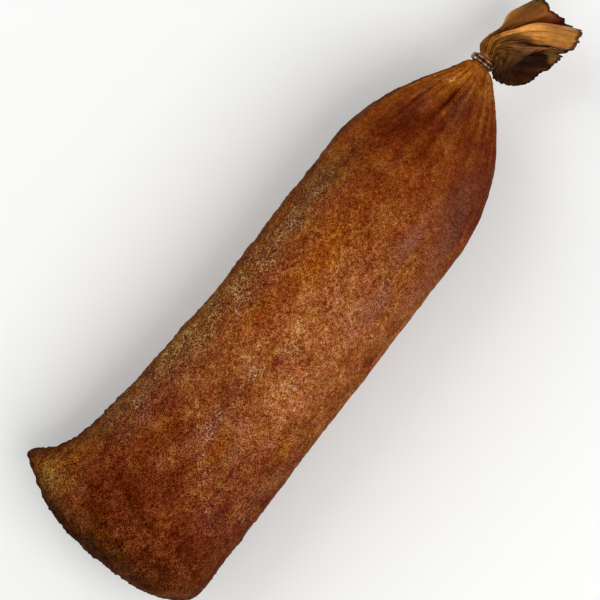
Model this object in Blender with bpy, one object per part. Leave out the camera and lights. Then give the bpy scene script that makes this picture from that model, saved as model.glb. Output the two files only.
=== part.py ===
"""A whole cured sausage in a smoked natural casing, lying on its side.

The casing is one tube. It is filled and blind at one end, where it bulges into an ear at one
corner. At the other end it is gathered into a neck, closed by a wire clip, and its empty tail
fans out past the clip. The casing with its filling is one solid; the clip is the other.

Metres, +Z up. Everything is first laid out round the clip's centre: +X runs out along the tail,
-X along the sausage, +Y is the side with the ear. It is then set down with the origin under the
middle of its box.
"""

import math

import bmesh
import bpy
from mathutils import Vector

MM = 0.001

# The filled length and the four sides of the sausage, as distances from the line through the clip.
FILLED_LENGTH = 307 * MM
CLIP_HEIGHT = 38 * MM
RIGHT_REACH = 48.0 * MM
LEFT_REACH = 36.2 * MM
TOP_REACH = 45.4 * MM
BOTTOM_REACH = 39.2 * MM

# How far from the clip each side takes to swell to its full reach, and how bluntly.
RIGHT_SHOULDER = (81 * MM, 0.86)
LEFT_SHOULDER = (74 * MM, 1.08)
TOP_SHOULDER = (78 * MM, 0.86)
BOTTOM_SHOULDER = (72 * MM, 0.92)

# Towards the blind end the filling has settled: wider on the ear's side, and lower.
SETTLE_START = 150 * MM
SETTLE_WIDER = 7.2 * MM
SETTLE_LOWER = 9.0 * MM

# The blind end is a blunt dome.
DOME_DEPTH = 27 * MM
DOME_POWER = 3.0

# The corners of the blind end. Each stands out of the casing at a station and an angle round it,
# and fades over a distance to the body, a distance to the end, and an angle to either side.
EAR = (21 * MM, 287 * MM, math.radians(-14), 12.5 * MM, 10.3 * MM, math.radians(21))
FAR_CORNER = (1.8 * MM, 295 * MM, math.radians(180), 5.5 * MM, 4.5 * MM, math.radians(24))
CORNER_ROUNDING = 3.0 * MM
CORNER_ANGLE_ROUNDING = math.radians(9)

# The gathered neck, its pleats, and the wire clip round it.
NECK_RADIUS = 3.9 * MM
NECK_HALF_LENGTH = 2.6 * MM
COLLAR_SWELL = 1.9 * MM
COLLAR_LENGTH = 2.3 * MM
PLEATS = 13
PLEAT_DEPTH = 0.075
PLEAT_FADE = 17 * MM
WIRE_RADIUS = 1.0 * MM
WIRE_TURNS = 1.9
WIRE_SPACING = 2.1 * MM
WIRE_CROSSING_ANGLE = math.radians(60)
WIRE_CLEARANCE = 0.32 * MM
WIRE_END_LIFT = 1.0 * MM
WIRE_END_ANGLE = math.radians(50)

# The shallow lumps that the filling leaves along the sausage.
LUMP_DEPTH = 0.45 * MM

# The number of points round each ring: a multiple of 4.
AROUND = 72

# The folds of the empty tail, going round the neck. Each line starts on the neck at its angle
# and runs as a Bezier through three more points to the tail's cut edge, in millimetres from the
# clip's centre: out, towards the ear's side, up.
TAIL_FOLDS = [
    (0, (8.0, 8.8, 0.5), (22.0, 4.4, 1.0), (40.5, 1.2, -2.0)),  # side edge of the back flap
    (22, (9.5, 6.8, 4.0), (27.0, 3.6, 4.0), (44.5, -3.0, 0.0)),  # tip of the back flap
    (43, (10.0, 3.5, 5.0), (28.0, -2.0, 3.0), (41.0, -10.0, -1.0)),  # middle of the back flap
    (61, (9.5, 1.8, 3.5), (28.0, -5.5, -1.0), (40.0, -17.0, -3.5)),  # crease by the broad fold
    (82, (9.0, 0.2, 7.0), (25.0, -7.0, 9.0), (41.5, -24.5, 3.5)),  # crest of the broad fold
    (99, (8.5, -0.8, 7.0), (22.0, -10.0, 8.0), (38.0, -31.5, 3.0)),  # its outer side
    (112, (8.0, -1.8, 5.5), (18.0, -11.0, 2.5), (31.0, -33.8, 1.0)),  # its lower edge
    (125, (7.5, -2.8, 3.0), (16.0, -13.0, -2.5), (27.0, -28.2, -2.5)),  # hollow beside it
    (137, (7.0, -3.8, 4.0), (14.0, -14.5, 2.0), (23.5, -28.8, -2.0)),  # narrow pleat
    (149, (6.5, -4.8, 1.5), (12.0, -16.0, -2.5), (19.2, -27.4, -5.0)),  # groove beside it
    (163, (5.0, -8.5, 1.0), (0.5, -17.5, 0.5), (12.5, -25.0, -5.5)),  # crest of the side lobe
    (180, (3.0, -11.5, -1.5), (-10.5, -14.8, -4.0), (4.5, -23.8, -9.0)),  # edge of the side lobe
    (212, (4.8, -7.0, -5.0), (4.0, -14.0, -9.0), (17.0, -25.5, -10.5)),  # under the side lobe
    (248, (8.0, -2.0, -6.5), (18.0, -10.0, -7.5), (30.5, -31.0, -6.0)),  # under the broad fold
    (285, (9.0, 0.5, -6.0), (24.0, -5.5, -7.0), (38.5, -21.5, -8.0)),  # under the crease
    (322, (9.0, 4.0, -4.0), (25.0, 0.5, -5.0), (40.5, -7.5, -7.5)),  # under the back flap
]
TAIL_RINGS = 13
MOUTH_DEPTH = 0.45  # of its gape


def shoulder(station, reach, extent, power):
    """One side's distance from the clip's line, as the casing swells away from the neck."""
    past_neck = max(station - NECK_HALF_LENGTH, 0)
    left = 1 - min(past_neck / extent, 1)
    swell = (reach - NECK_RADIUS) * (1 - left * left) ** power
    bunch = COLLAR_SWELL * past_neck / COLLAR_LENGTH * math.exp(1 - past_neck / COLLAR_LENGTH)
    return NECK_RADIUS + swell + bunch


def smooth_step(low, high, value):
    share = min(max((value - low) / (high - low), 0), 1)
    return share * share * (3 - 2 * share)


def rounded_distance(distance, rounding):
    """The size of a distance, with the kink at nought rounded off."""
    return math.hypot(distance, rounding) - rounding


def corner(station, angle, height, at, towards, body_fade, end_fade, angle_fade):
    """How far one of the blind end's corners stands out at a station and an angle round it."""
    along = station - at
    fade = body_fade if along < 0 else end_fade
    turned = math.remainder(angle - towards, math.tau)
    away = rounded_distance(along, CORNER_ROUNDING) / fade
    away += rounded_distance(turned, CORNER_ANGLE_ROUNDING) / angle_fade
    return height * math.exp(-away)


def lumps(station, angle):
    """Shallow unevenness, from waves that don't line up."""
    waves = (
        math.sin(station / (19 * MM) + 2 * angle + 0.7),
        math.sin(station / (11 * MM) - 3 * angle + 2.1),
        math.sin(station / (31 * MM) + 5 * angle + 4.0),
    )
    filled = smooth_step(0, 60 * MM, station)
    return LUMP_DEPTH * filled * sum(waves) / len(waves)


def pleat(angle):
    """One turn of the gathered casing: uneven pleats, between -1 and 1."""
    return 0.65 * math.cos(PLEATS * angle + 0.8 * math.sin(2 * angle)) + 0.35 * math.cos(
        (PLEATS - 4) * angle + 1.9
    )


def body_ring(station, scale=1.0):
    """The casing's cross-section at a distance from the clip. The dome's rings are scaled down."""
    settled = smooth_step(SETTLE_START, FILLED_LENGTH - DOME_DEPTH, station)
    right = shoulder(station, RIGHT_REACH, *RIGHT_SHOULDER)
    left = shoulder(station, LEFT_REACH, *LEFT_SHOULDER) + SETTLE_WIDER * settled
    top = shoulder(station, TOP_REACH, *TOP_SHOULDER) - SETTLE_LOWER * settled
    bottom = shoulder(station, BOTTOM_REACH, *BOTTOM_SHOULDER)
    centre = Vector((-station, (left - right) / 2, CLIP_HEIGHT + (top - bottom) / 2))
    pleating = PLEAT_DEPTH * math.exp(-max(station - NECK_HALF_LENGTH, 0) / PLEAT_FADE)
    pleating *= smooth_step(NECK_HALF_LENGTH, 3 * NECK_HALF_LENGTH, station)
    ring = []
    for step in range(AROUND):
        angle = math.tau * step / AROUND
        outward = Vector((0, math.cos(angle), math.sin(angle)))
        oval = Vector((0, (left + right) / 2 * outward.y, (top + bottom) / 2 * outward.z))
        reach = oval * (1 + pleating * pleat(angle))
        raised = corner(station, angle, *EAR) + corner(station, angle, *FAR_CORNER)
        reach += outward * (raised + lumps(station, angle))
        point = centre + reach * scale
        point.z = max(point.z, 0)  # where it lies, the sausage is pressed flat
        ring.append(point)
    return ring


def body_stations():
    """Distances from the clip, close together at the neck and at the ear."""
    count = 19
    near = [NECK_HALF_LENGTH * (60 ** (i / count)) for i in range(count + 1)]
    start, end = near[-1], FILLED_LENGTH - DOME_DEPTH
    count = 13
    far = [start + (end - start) * (1 - (1 - i / count) ** 1.5) for i in range(1, count + 1)]
    return near + far


def dome_rings():
    """Rings over the blunt dome, from its rim to near its pole."""
    count = 11
    rings = []
    for i in range(1, count):
        turn = math.pi / 2 * (i / count) ** 1.35
        depth = math.sin(turn) ** (2 / DOME_POWER)
        scale = math.cos(turn) ** (2 / DOME_POWER)
        rings.append(body_ring(FILLED_LENGTH - DOME_DEPTH * (1 - depth), scale))
    return rings


def bezier(points, share):
    """A point on the cubic Bezier through its four control points."""
    rest = 1 - share
    weights = (rest**3, 3 * rest**2 * share, 3 * rest * share**2, share**3)
    return sum((point * weight for point, weight in zip(points, weights)), Vector())


def closed_spline(knots, values, at):
    """The value at an angle, on a smooth loop through the values at the knots, in degrees."""
    count = len(knots)
    at %= 360
    here = max(i for i in range(count) if knots[i] <= at)

    def knot(i):
        return knots[i % count] + 360 * (i // count)

    def slope(i):
        rise = values[(i + 1) % count] - values[(i - 1) % count]
        return rise / (knot(i + 1) - knot(i - 1))

    width = knot(here + 1) - knot(here)
    u = (at - knot(here)) / width
    start, end = values[here], values[(here + 1) % count]
    return (
        start * (2 * u**3 - 3 * u**2 + 1)
        + slope(here) * width * (u**3 - 2 * u**2 + u)
        + end * (3 * u**2 - 2 * u**3)
        + slope(here + 1) * width * (u**3 - u**2)
    )


def neck_point(along, angle):
    """A point on the gathered neck where the clip holds it."""
    reach = NECK_RADIUS
    return Vector((along, reach * math.cos(angle), CLIP_HEIGHT + reach * math.sin(angle)))


def tail_ring(share):
    """A ring of the empty tail, from the clip at 0 to the cut edge at 1."""
    knots = [fold[0] for fold in TAIL_FOLDS]
    on_folds = []
    for degrees, *controls in TAIL_FOLDS:
        start = neck_point(NECK_HALF_LENGTH, math.radians(degrees))
        rest = [Vector(c) * MM + Vector((0, 0, CLIP_HEIGHT)) for c in controls]
        on_folds.append(bezier([start, *rest], share))
    centre = sum(on_folds, Vector()) / len(on_folds)
    pleating = 2 * PLEAT_DEPTH * (1 - share) * smooth_step(0, 0.15, share)
    ring = []
    for step in range(AROUND):
        angle = math.tau * step / AROUND
        point = closed_spline(knots, on_folds, math.degrees(angle))
        ring.append(point + (point - centre) * pleating * pleat(angle))
    return ring


def tail_rings():
    shares = [(i / TAIL_RINGS) ** 1.2 for i in range(1, TAIL_RINGS + 1)]
    return [tail_ring(share) for share in shares]


def neck_rings():
    """Rings through the clip, from the filled side to the tail's side."""
    turns = [math.tau * step / AROUND for step in range(AROUND)]
    stops = (0, NECK_HALF_LENGTH)
    return [[neck_point(along, angle) for angle in turns] for along in stops]


def add_band(mesh, first, second):
    """Faces between two rings of the same number of points."""
    for i in range(len(first)):
        j = (i + 1) % len(first)
        mesh.faces.new((first[i], first[j], second[j], second[i]))


def close_mouth(mesh, edge):
    """Faces across the tail's open end, drawn in between its upper and its lower edge."""
    half = len(edge) // 2
    inner = []
    for i in range(1, half):
        over, under = edge[i].co, edge[-i].co
        middle = (over + under) / 2
        back = Vector((middle.x, middle.y, 0)).normalized()
        depth = MOUTH_DEPTH * (over - under).length
        inner.append(mesh.verts.new(middle - back * depth))
    for side in (1, -1):
        for i in range(1, half - 1):
            near, far = edge[side * i], edge[side * (i + 1)]
            mesh.faces.new((near, far, inner[i], inner[i - 1]))
        mesh.faces.new((edge[0], edge[side], inner[0]))
        mesh.faces.new((edge[half], edge[side * (half - 1)], inner[-1]))


def add_object(name, mesh, material):
    """Ends a mesh as a smooth-shaded object of its own, with its faces pointing out."""
    bmesh.ops.recalc_face_normals(mesh, faces=mesh.faces)
    data = bpy.data.meshes.new(name)
    mesh.to_mesh(data)
    mesh.free()
    data.shade_smooth()
    data.materials.append(material)
    thing = bpy.data.objects.new(name, data)
    bpy.context.scene.collection.objects.link(thing)
    return thing


def finish(name, colour, roughness, metallic=0.0):
    material = bpy.data.materials.new(name)
    material.use_nodes = True
    surface = material.node_tree.nodes["Principled BSDF"]
    surface.inputs["Base Color"].default_value = (*colour, 1)
    surface.inputs["Roughness"].default_value = roughness
    surface.inputs["Metallic"].default_value = metallic
    return material


def make_sausage():
    """The filled casing and its empty tail, lofted as one skin from the blind end outwards."""
    rings = [*reversed(dome_rings()), *(body_ring(s) for s in reversed(body_stations()))]
    rings += [*neck_rings(), *tail_rings()]
    mesh = bmesh.new()
    skin = [[mesh.verts.new(point) for point in ring] for ring in rings]
    for first, second in zip(skin, skin[1:]):
        add_band(mesh, first, second)
    innermost = rings[0]
    pole = sum(innermost, Vector()) / AROUND
    pole.x = -FILLED_LENGTH
    pole = mesh.verts.new(pole)
    for i in range(AROUND):
        mesh.faces.new((skin[0][i], skin[0][(i + 1) % AROUND], pole))
    close_mouth(mesh, skin[-1])
    return add_object("sausage", mesh, finish("smoked_casing", (0.27, 0.078, 0.022), 0.55))


def make_clip():
    """Nearly two turns of wire side by side, their ends lifted off the neck where they meet."""
    radius = NECK_RADIUS + WIRE_CLEARANCE + WIRE_RADIUS
    steps, sides = 57, 8
    sweep = WIRE_TURNS * math.tau
    mesh = bmesh.new()
    loops = []
    for i in range(steps + 1):
        turned = sweep * i / steps
        to_end = min(turned, sweep - turned)
        lift = WIRE_END_LIFT * (1 - smooth_step(0, WIRE_END_ANGLE, to_end))
        angle = turned - (sweep - math.tau) / 2 + math.pi
        outward = Vector((0, math.cos(angle), math.sin(angle)))
        crossed = smooth_step(-0.5, 0.5, (turned - sweep / 2) / WIRE_CROSSING_ANGLE)
        along = WIRE_SPACING * (crossed - 0.5)
        centre = outward * (radius + lift) + Vector((along, 0, CLIP_HEIGHT))
        loop = []
        for side in range(sides):
            turn = math.tau * (side + 0.5) / sides
            across = outward * math.cos(turn) + Vector((math.sin(turn), 0, 0))
            loop.append(mesh.verts.new(centre + across * WIRE_RADIUS))
        loops.append(loop)
    for first, second in zip(loops, loops[1:]):
        add_band(mesh, first, second)
    mesh.faces.new(loops[0])
    mesh.faces.new(loops[-1])
    return add_object("clip", mesh, finish("clip_wire", (0.20, 0.15, 0.12), 0.35, 1.0))


def set_down(things):
    """Moves the meshes so that the origin is under the middle of their common box."""
    points = [vertex.co for thing in things for vertex in thing.data.vertices]
    low = Vector(min(point[i] for point in points) for i in range(3))
    high = Vector(max(point[i] for point in points) for i in range(3))
    base = Vector(((low.x + high.x) / 2, (low.y + high.y) / 2, low.z))
    for vertex in (v for thing in things for v in thing.data.vertices):
        vertex.co -= base


for leftover in list(bpy.data.objects):
    bpy.data.objects.remove(leftover)
set_down([make_sausage(), make_clip()])
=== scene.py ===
import math

import bmesh
import bpy
import numpy as np
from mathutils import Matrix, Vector, noise


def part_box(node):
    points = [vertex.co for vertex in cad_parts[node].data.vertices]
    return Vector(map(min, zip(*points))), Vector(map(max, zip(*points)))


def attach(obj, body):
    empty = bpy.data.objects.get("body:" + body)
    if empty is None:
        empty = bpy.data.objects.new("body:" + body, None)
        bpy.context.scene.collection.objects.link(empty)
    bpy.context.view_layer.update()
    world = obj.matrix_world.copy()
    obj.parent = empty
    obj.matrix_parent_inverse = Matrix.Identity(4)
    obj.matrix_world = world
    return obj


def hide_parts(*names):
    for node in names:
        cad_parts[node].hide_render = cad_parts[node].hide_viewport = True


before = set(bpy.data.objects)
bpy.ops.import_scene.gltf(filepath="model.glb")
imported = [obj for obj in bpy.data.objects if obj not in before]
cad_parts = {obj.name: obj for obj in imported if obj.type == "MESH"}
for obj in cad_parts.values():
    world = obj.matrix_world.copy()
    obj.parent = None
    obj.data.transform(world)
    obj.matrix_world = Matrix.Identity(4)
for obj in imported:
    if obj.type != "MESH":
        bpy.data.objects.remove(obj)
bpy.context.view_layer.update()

# ---------------------------------------------------------------------------------------------
# The filled casing. A natural bung casing stuffed with cured meat: blind and blunt at one end,
# where it bulges into an ear, and gathered into a neck at the other. It is laid out round the
# middle of the clip, ring by ring, from the clip to the blind end, and it rests on a flat strip.

MM = 0.001

NECK_RADIUS = 3.9 * MM
NECK_HALF_LENGTH = 2.6 * MM
CLIP_REACH = 6.22 * MM  # from the middle of the neck to the outside of the wire
CLIP_HEIGHT = 38 * MM

clip_low, clip_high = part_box("clip")
NECK = Vector(((clip_low.x + clip_high.x) / 2, clip_low.y + CLIP_REACH, CLIP_HEIGHT))

FILLED_LENGTH = 307 * MM
RIGHT_REACH = 48.4 * MM
LEFT_REACH = 35.4 * MM
TOP_REACH = 45.4 * MM
BOTTOM_REACH = 39.2 * MM
RIGHT_SHOULDER = (81 * MM, 0.86)
LEFT_SHOULDER = (74 * MM, 1.08)
TOP_SHOULDER = (78 * MM, 0.86)
BOTTOM_SHOULDER = (72 * MM, 0.92)
COLLAR_SWELL = 1.9 * MM
COLLAR_LENGTH = 2.3 * MM
SETTLE_START = 150 * MM
SETTLE_WIDER = 7.2 * MM
SETTLE_LOWER = 9.0 * MM
DOME_DEPTH = 27 * MM
DOME_POWER = 3.0
# How far a corner stands out, its place along and round, and how it fades: towards the body,
# towards the end, and round the casing.
EAR = (20.5 * MM, 288.5 * MM, math.radians(-14), 12.0 * MM, 12.0 * MM, math.radians(22))
FAR_CORNER = (1.8 * MM, 295 * MM, math.radians(180), 5.5 * MM, 4.5 * MM, math.radians(24))
CORNER_ROUNDING = 3.0 * MM
CORNER_ANGLE_ROUNDING = math.radians(9)
LUMP_DEPTH = 0.45 * MM
PLEATS = 13
PLEAT_DEPTH = 0.075
PLEAT_FADE = 17 * MM


def smooth_step(low, high, value):
    share = np.clip((value - low) / (high - low), 0, 1)
    return share * share * (3 - 2 * share)


def shoulder(station, reach, extent, power):
    past_neck = np.maximum(station - NECK_HALF_LENGTH, 0)
    left = 1 - np.minimum(past_neck / extent, 1)
    swell = (reach - NECK_RADIUS) * (1 - left * left) ** power
    bunch = COLLAR_SWELL * past_neck / COLLAR_LENGTH * np.exp(1 - past_neck / COLLAR_LENGTH)
    return NECK_RADIUS + swell + bunch


def four_sides(station):
    """How far the casing reaches right, left, up and down from the line through the clip."""
    settled = smooth_step(SETTLE_START, FILLED_LENGTH - DOME_DEPTH, station)
    return (
        shoulder(station, RIGHT_REACH, *RIGHT_SHOULDER),
        shoulder(station, LEFT_REACH, *LEFT_SHOULDER) + SETTLE_WIDER * settled,
        shoulder(station, TOP_REACH, *TOP_SHOULDER) - SETTLE_LOWER * settled,
        shoulder(station, BOTTOM_REACH, *BOTTOM_SHOULDER),
    )


def rounded_distance(distance, rounding):
    return np.hypot(distance, rounding) - rounding


def turned_by(angle):
    return np.remainder(angle + math.pi, math.tau) - math.pi


def corner(station, angle, height, at, towards, body_fade, end_fade, angle_fade):
    along = station - at
    fade = np.where(along < 0, body_fade, end_fade)
    away = rounded_distance(along, CORNER_ROUNDING) / fade
    aside = rounded_distance(turned_by(angle - towards), CORNER_ANGLE_ROUNDING) / angle_fade
    return height * np.exp(-away - aside)


def pleat(angle):
    return 0.65 * np.cos(PLEATS * angle + 0.8 * np.sin(2 * angle)) + 0.35 * np.cos(
        (PLEATS - 4) * angle + 1.9
    )


def lumps(station, angle):
    waves = (
        np.sin(station / (19 * MM) + 2 * angle + 0.7)
        + np.sin(station / (11 * MM) - 3 * angle + 2.1)
        + np.sin(station / (31 * MM) + 5 * angle + 4.0)
    )
    return LUMP_DEPTH * smooth_step(0, 60 * MM, station) * waves / 3


# Gathered skin: fine pleats that die out along the shoulder, and single creases of its own
# length, width and depth, a few of which reach far down the body.
FINE_PLEATS = ((29, 0.030, 24 * MM, 0.4), (47, 0.022, 16 * MM, 2.2), (73, 0.014, 10 * MM, 4.1))
CREASES = 46
CREASE_LENGTH = (10 * MM, 62 * MM)
CREASE_WIDTH = (0.45 * MM, 1.1 * MM)
CREASE_DEPTH = (0.15 * MM, 0.60 * MM)
crease_dice = np.random.default_rng(11)
creases = [
    (
        crease_dice.uniform(-math.pi, math.pi),
        crease_dice.uniform(*CREASE_LENGTH) * crease_dice.uniform(0.3, 1.0),
        crease_dice.uniform(*CREASE_WIDTH),
        crease_dice.uniform(*CREASE_DEPTH),
        crease_dice.uniform(-0.10, 0.10),
    )
    for _ in range(CREASES)
]


def gathers(station, angle, girth):
    """How far the gathered skin stands out, or in, near the neck."""
    past = np.maximum(station - NECK_HALF_LENGTH, 0)
    grown = smooth_step(NECK_HALF_LENGTH, 3 * NECK_HALF_LENGTH, station)
    warped = angle + 0.06 * np.sin(3 * angle + 1.1) + 0.5 * past * np.sin(2 * angle + 0.4)
    out = np.zeros_like(angle)
    for count, depth, fade, phase in FINE_PLEATS:
        wave = np.sin(count * warped + phase + np.sin(7 * angle + phase))
        out += depth * girth * (wave - 0.5 * wave * wave) * np.exp(-past / fade)
    for towards, length, width, depth, bend in creases:
        line = towards + bend * past / length
        across = turned_by(angle - line) * girth / width
        fade = 1 - smooth_step(0.45 * length, length, past)
        out += depth * fade * (0.45 * np.exp(-((across - 2.0) ** 2)) - np.exp(-across * across))
    return grown * out


# The blind end's rim: the casing's edge is drawn round it in low curved ridges.
RIM_AT = 299 * MM
RIM_RIDGE = 0.35 * MM
RIM_SPACING = 4.2 * MM


def rim_ridges(station, angle):
    near = np.exp(-(((station - RIM_AT) / (9 * MM)) ** 2))
    wander = 1.3 * np.sin(3 * angle + 0.5) + 0.7 * np.sin(7 * angle + 2.0)
    return RIM_RIDGE * near * np.sin(station / RIM_SPACING * math.tau / 2 + wander)


AROUND = 268
RING_STEP = 1.02 * MM
NECK_STEP = 0.42 * MM


def casing_profile():
    """Stations and scales of the rings, spaced evenly over the skin, closer at the neck."""
    straight = np.linspace(0, FILLED_LENGTH - DOME_DEPTH, 3000)
    turn = np.linspace(0, math.pi / 2, 3000)[1:-1] ** 1.35
    turn *= (math.pi / 2) / turn[-1] * 0.9995
    dome = FILLED_LENGTH - DOME_DEPTH * (1 - np.sin(turn) ** (2 / DOME_POWER))
    stations = np.concatenate([straight, dome])
    scales = np.concatenate([np.ones(straight.size), np.cos(turn) ** (2 / DOME_POWER)])
    right, left, top, bottom = four_sides(stations)
    radius = (right + left + top + bottom) / 4 * scales
    length = np.hypot(np.diff(stations, prepend=0), np.diff(radius, prepend=radius[0]))
    length = np.cumsum(length)
    step = NECK_STEP + (RING_STEP - NECK_STEP) * smooth_step(0, 45 * MM, length)
    paces = np.cumsum(np.diff(length, prepend=0) / step)
    wanted = np.linspace(0, paces[-1], int(paces[-1]))
    return np.interp(wanted, paces, stations), np.interp(wanted, paces, scales)


def around_angles(count):
    """Angles round a ring from the underside, closer together on top."""
    turn = math.tau * np.arange(count) / count
    return turn - 0.25 * np.sin(turn) - math.pi / 2


def casing_points(stations, scales, angles):
    s, scale = stations[:, None], scales[:, None]
    angle = angles[None, :] + 0 * s
    right, left, top, bottom = four_sides(s)
    across, up = np.cos(angle), np.sin(angle)
    half_wide, half_high = (left + right) / 2, (top + bottom) / 2
    past = np.maximum(s - NECK_HALF_LENGTH, 0)
    pleating = PLEAT_DEPTH * np.exp(-past / PLEAT_FADE)
    pleating *= smooth_step(NECK_HALF_LENGTH, 3 * NECK_HALF_LENGTH, s)
    grown = 1 + pleating * pleat(angle)
    out = corner(s, angle, *EAR) + corner(s, angle, *FAR_CORNER) + lumps(s, angle)
    out += gathers(s, angle, (half_wide + half_high) / 2) + rim_ridges(s, angle)
    y = (left - right) / 2 + (half_wide * across * grown + out * across) * scale
    z = CLIP_HEIGHT + (top - bottom) / 2 + (half_high * up * grown + out * up) * scale
    points = np.stack([-s + 0 * angle, y, z], axis=-1)
    points[..., :2] += (NECK.x, NECK.y)
    return points, angle


def tube_faces(rings, count):
    """Quads between neighbouring rings of a closed tube, as vertex numbers."""
    first = np.arange(rings - 1)[:, None] * count + np.arange(count)[None, :]
    second = np.arange(rings - 1)[:, None] * count + np.roll(np.arange(count), -1)[None, :]
    quads = np.stack([first, second, second + count, first + count], axis=-1)
    return quads.reshape(-1, 4).tolist()


def mesh_piece(name, points, faces):
    data = bpy.data.meshes.new(name)
    data.from_pydata(points, [], faces)
    shape = bmesh.new()
    shape.from_mesh(data)
    bmesh.ops.recalc_face_normals(shape, faces=shape.faces)
    shape.to_mesh(data)
    shape.free()
    data.shade_smooth()
    piece = bpy.data.objects.new(name, data)
    bpy.context.scene.collection.objects.link(piece)
    return piece


def paint(piece, name, values):
    """A named mask on the piece's skin, one number for each vertex."""
    mask = piece.data.attributes.new(name, "FLOAT", "POINT")
    mask.data.foreach_set("value", np.asarray(values, dtype=np.float32).ravel())


stations, scales = casing_profile()
ring_points, ring_angles = casing_points(stations, scales, around_angles(AROUND))
rings = len(stations)
pole = ring_points[-1].mean(axis=0)
pole[0] = NECK.x - FILLED_LENGTH
neck_centre = ring_points[0].mean(axis=0)
flat = ring_points.reshape(-1, 3)
last = (rings - 1) * AROUND
faces = tube_faces(rings, AROUND)
faces += [[last + i, last + (i + 1) % AROUND, rings * AROUND] for i in range(AROUND)]
faces += [[(i + 1) % AROUND, i, rings * AROUND + 1] for i in range(AROUND)]
casing = mesh_piece("filled_casing", np.vstack([flat, pole, neck_centre]).tolist(), faces)

# What the skin looks like from place to place. The tone runs from dark (0) to pale (1): partly
# the skin's own smoke and mottling, and partly painted shade towards the ends, the flanks and the
# grooves of the gathers, with painted highlights on their ridges. Yellow turns it from red brown
# to olive, amber takes the blue out of it, bloom is a thin greyish film, partly salt and partly
# painted sheen, crust is dry fat in pale threads round dark pores, partly painted sheen on the
# upper left flank, fibre is the pale hair that shows in the skin, grain and fine are how strong
# the two speckles are, mottle is how uneven the tone is, gathered is where stretched fibres show
# in it, and rough is how far the dried skin stands up.
station_of = np.append(np.repeat(stations, AROUND), (FILLED_LENGTH, 0))
angle_of = np.append(np.broadcast_to(ring_angles, (rings, AROUND)).ravel(), (0, 0))
millimetres_of = station_of / MM
degrees_of = np.degrees(turned_by(angle_of))

# Darker towards both ends: partly the smoke, partly painted shade where the light falls off along the
# body and the blind end turns away.
TONE_AND_SHADING_ALONG = (  # millimetres from the clip, and the tone there
    (0, 0.64), (8, 0.64), (16, 0.56), (24, 0.46), (34, 0.42), (50, 0.42), (62, 0.44),
    (80, 0.48), (100, 0.52), (125, 0.57), (150, 0.595), (185, 0.60), (205, 0.54), (225, 0.445),
    (245, 0.405), (262, 0.335), (278, 0.29), (292, 0.24), (300, 0.19), (307, 0.12),
)
# Painted shade: darker towards both flanks and darkest where the skin turns away at the outline; the
# underside is kept about as dark as the flanks.
TONE_AND_SHADING_AROUND = (  # degrees round from the left flank over the top, and the change of tone
    (-180, -0.20), (-90, -0.20), (-8, -0.30), (4, -0.28), (15, -0.21), (32, -0.165), (60, -0.07),
    (85, -0.02), (105, 0.01), (125, 0.01), (150, -0.03), (172, -0.08), (180, -0.20),
)
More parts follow.
